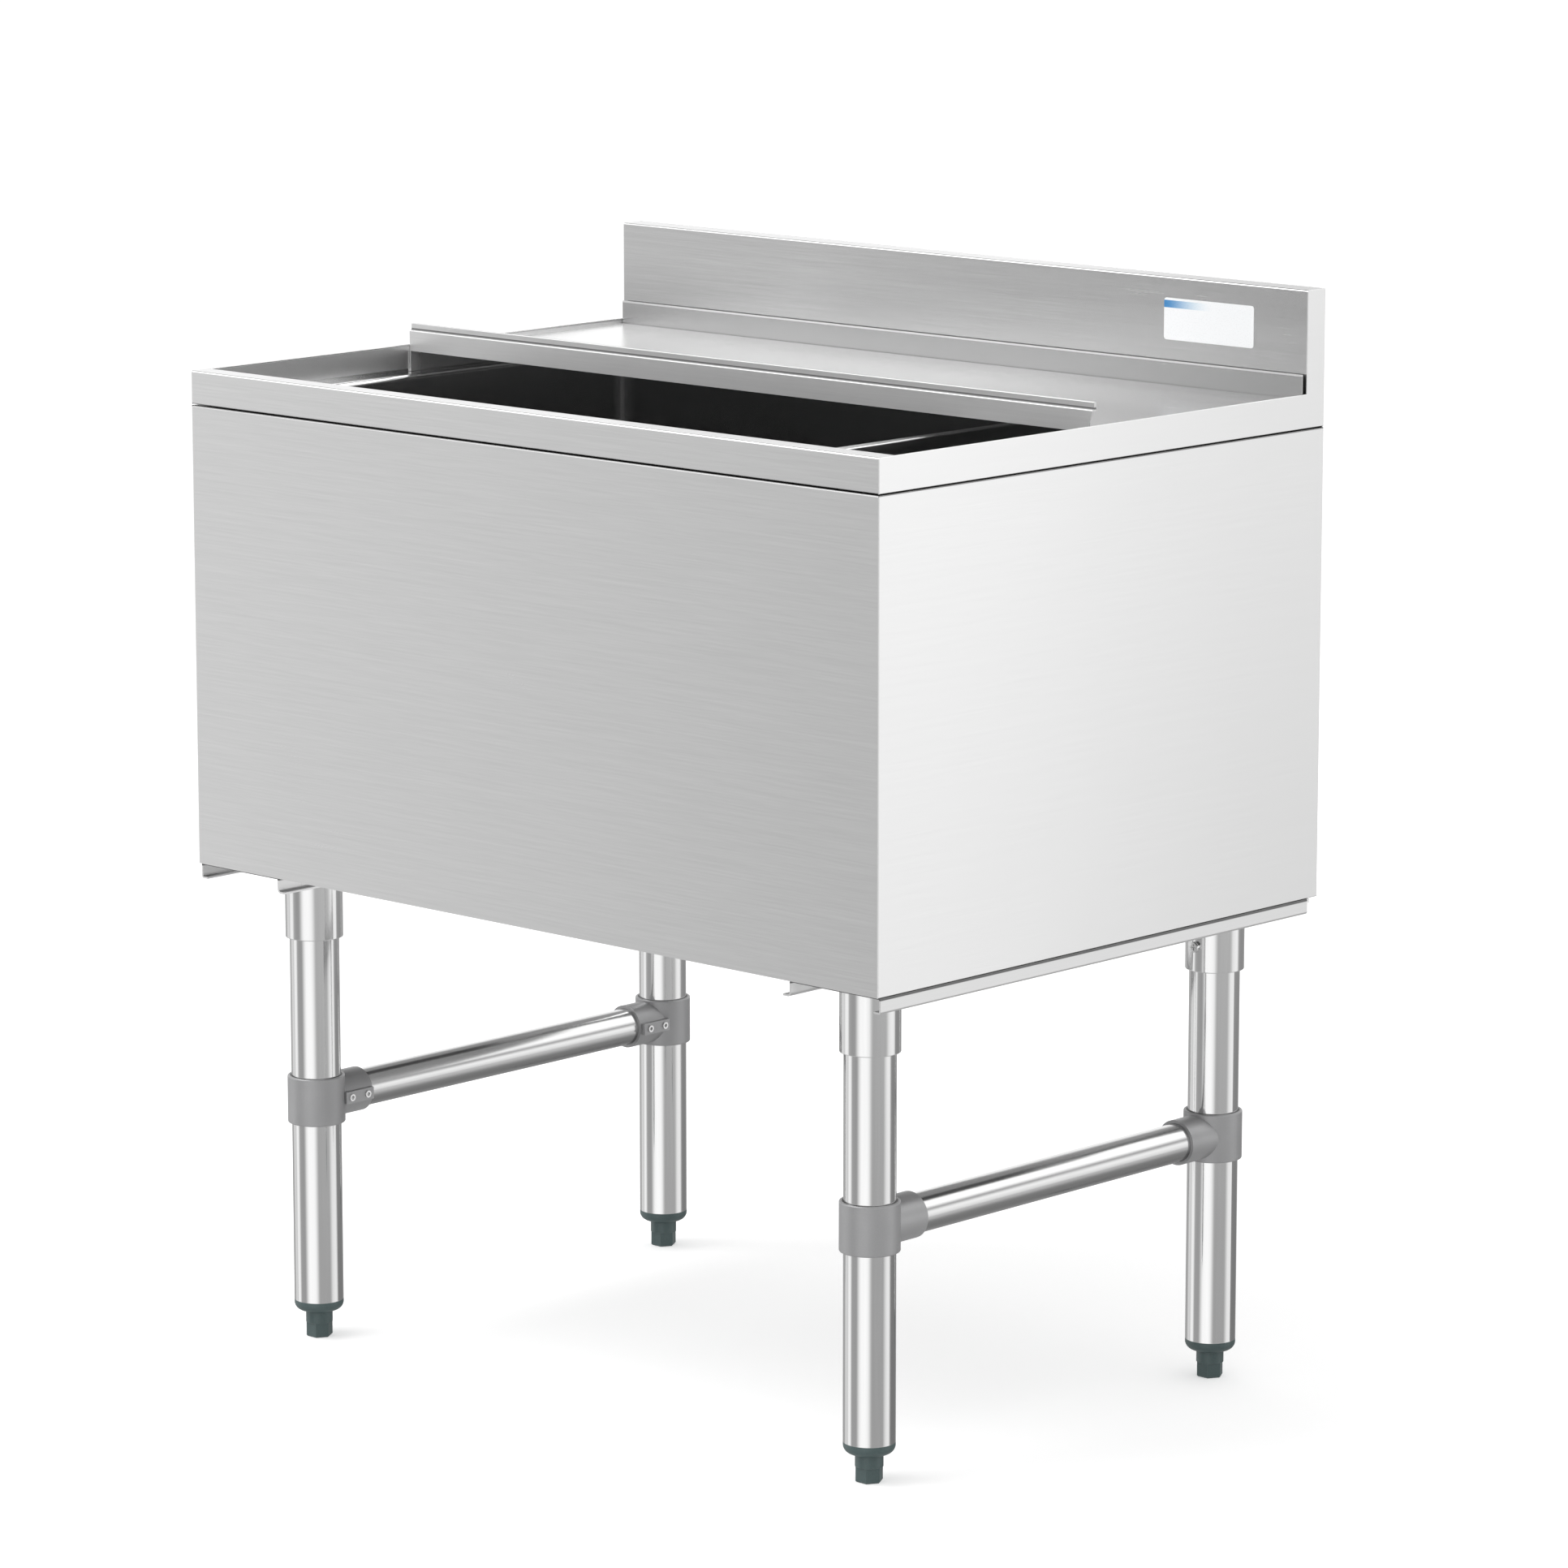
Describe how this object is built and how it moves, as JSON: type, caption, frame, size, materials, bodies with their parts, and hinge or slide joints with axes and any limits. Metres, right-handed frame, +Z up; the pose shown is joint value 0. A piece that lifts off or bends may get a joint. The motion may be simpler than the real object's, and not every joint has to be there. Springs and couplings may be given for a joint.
{
  "type": "underbar ice bin",
  "caption": "Free-standing insulated stainless ice bin with backsplash, sliding lid, divider and drain on tube legs with levelling feet.",
  "frame": {"origin": "on the floor, under the middle of the overall box", "axes": "+X to the right seen from the front, +Y from the front to the backsplash, +Z up"},
  "size_m": [0.762, 0.527, 0.899],
  "materials": {
    "shell_steel": "satin",
    "lid_steel": "satin",
    "liner_steel": "satin",
    "channel_steel": "satin",
    "tube_steel": "polished",
    "cast_fitting": "matte",
    "foot_plastic": "satin",
    "screw_steel": "satin",
    "foam": "matte",
    "drain_chrome": "polished",
    "seal_rubber": "matte"
  },
  "bodies": {
    "cabinet": {"front_panel": "shell_steel", "left_side_panel": "shell_steel", "right_side_panel": "shell_steel", "back_panel": "shell_steel", "bottom_pan": "shell_steel", "front_rim": "shell_steel", "left_end_cap": "shell_steel", "right_end_cap": "shell_steel", "backsplash": "shell_steel", "liner": "liner_steel", "left_leg_channel": "channel_steel", "right_leg_channel": "channel_steel", "front_left_leg": "tube_steel", "front_right_leg": "tube_steel", "rear_left_leg": "tube_steel", "rear_right_leg": "tube_steel", "front_left_leg_socket": "tube_steel", "front_right_leg_socket": "tube_steel", "rear_left_leg_socket": "tube_steel", "rear_right_leg_socket": "tube_steel", "left_side_rail": "tube_steel", "right_side_rail": "tube_steel", "front_left_tee": "cast_fitting", "front_right_tee": "cast_fitting", "rear_left_tee": "cast_fitting", "rear_right_tee": "cast_fitting", "front_left_foot_insert": "foot_plastic", "front_right_foot_insert": "foot_plastic", "rear_left_foot_insert": "foot_plastic", "rear_right_foot_insert": "foot_plastic", "socket_screws": "screw_steel", "tee_set_screws": "screw_steel", "front_insulation": "foam", "rear_insulation": "foam", "left_insulation": "foam", "right_insulation": "foam", "bottom_insulation": "foam", "drain_body": "drain_chrome", "drain_strainer": "drain_chrome", "drain_locknut": "drain_chrome", "drain_gasket": "seal_rubber"},
    "lid": {"lid": "lid_steel"},
    "divider": {"divider": "lid_steel"},
    "front_left_foot": {"front_left_foot": "foot_plastic"},
    "front_right_foot": {"front_right_foot": "foot_plastic"},
    "rear_left_foot": {"rear_left_foot": "foot_plastic"},
    "rear_right_foot": {"rear_right_foot": "foot_plastic"}
  },
  "joints": [
    {"name": "lid_slide", "type": "slide", "parent": "cabinet", "child": "lid", "axis": [0, -1, 0], "range_m": [0, 0.2245]},
    {"name": "divider_slide", "type": "slide", "parent": "cabinet", "child": "divider", "axis": [1, 0, 0], "range_m": [-0.555, 0.12]},
    {"name": "front_left_foot_screw", "type": "slide", "parent": "cabinet", "child": "front_left_foot", "axis": [0, 0, -1], "range_m": [0, 0.025]},
    {"name": "front_right_foot_screw", "type": "slide", "parent": "cabinet", "child": "front_right_foot", "axis": [0, 0, -1], "range_m": [0, 0.025]},
    {"name": "rear_left_foot_screw", "type": "slide", "parent": "cabinet", "child": "rear_left_foot", "axis": [0, 0, -1], "range_m": [0, 0.025]},
    {"name": "rear_right_foot_screw", "type": "slide", "parent": "cabinet", "child": "rear_right_foot", "axis": [0, 0, -1], "range_m": [0, 0.025]}
  ]
}
